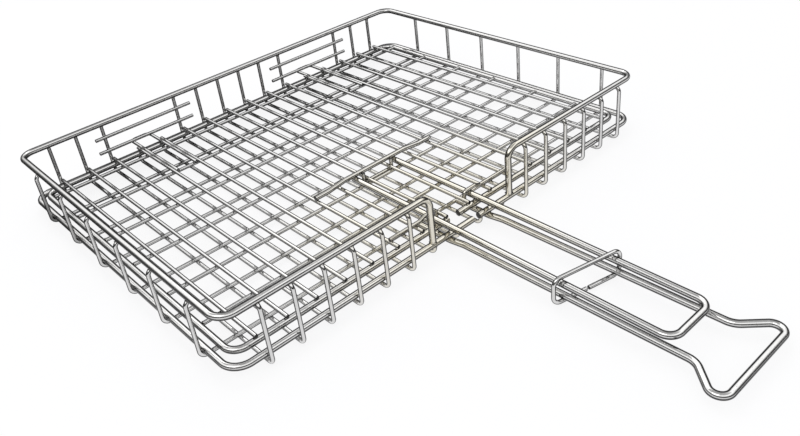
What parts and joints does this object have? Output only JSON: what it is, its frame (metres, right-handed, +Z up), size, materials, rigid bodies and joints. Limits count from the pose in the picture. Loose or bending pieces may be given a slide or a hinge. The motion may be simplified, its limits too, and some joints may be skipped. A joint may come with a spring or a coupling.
{
  "type": "grill basket",
  "caption": "Rectangular wire grill basket: open-mesh tray with raised rim, flat wire lid hinged inside it, and a long double wire handle held by a sliding clip.",
  "frame": {"origin": "on the table plane under the middle of the tray footprint", "axes": "+Z up, -Y towards the handle, +Y towards the hinge side, +X to the right seen from the handle"},
  "size_m": [0.4066, 0.535, 0.0505],
  "materials": {
    "frame_wire": "bright drawn stainless wire",
    "mesh_wire": "bright drawn stainless wire"
  },
  "bodies": {
    "basket": {"rim": "frame_wire", "bottom_ring": "frame_wire", "floor_long_wires": "mesh_wire", "floor_long_wires_handle_side": "mesh_wire", "floor_long_wires_ladder_side": "mesh_wire", "floor_cross_wires": "mesh_wire", "ladder_rungs_upper": "mesh_wire", "ladder_rungs_lower": "mesh_wire", "lower_handle": "frame_wire"},
    "lid": {"lid_ring": "frame_wire", "lid_long_wires": "mesh_wire", "lid_cross_wires": "mesh_wire", "hinge_tongue_left": "mesh_wire", "hinge_tongue_right": "mesh_wire", "upper_handle": "frame_wire", "bridge_bar_rear": "mesh_wire", "bridge_staple_rear": "mesh_wire", "bridge_hook_left": "mesh_wire", "bridge_hook_right": "mesh_wire"},
    "clip": {"slide_clip": "mesh_wire"}
  },
  "joints": [
    {"name": "lid_hinge", "type": "hinge", "parent": "basket", "child": "lid", "pos_m": [0, 0.1525, 0.0138], "axis": [-1, 0, 0], "range_deg": [0, 50]},
    {"name": "clip_slide", "type": "slide", "parent": "basket", "child": "clip", "axis": [0, 1, 0], "range_m": [-0.076, 0.073]}
  ]
}
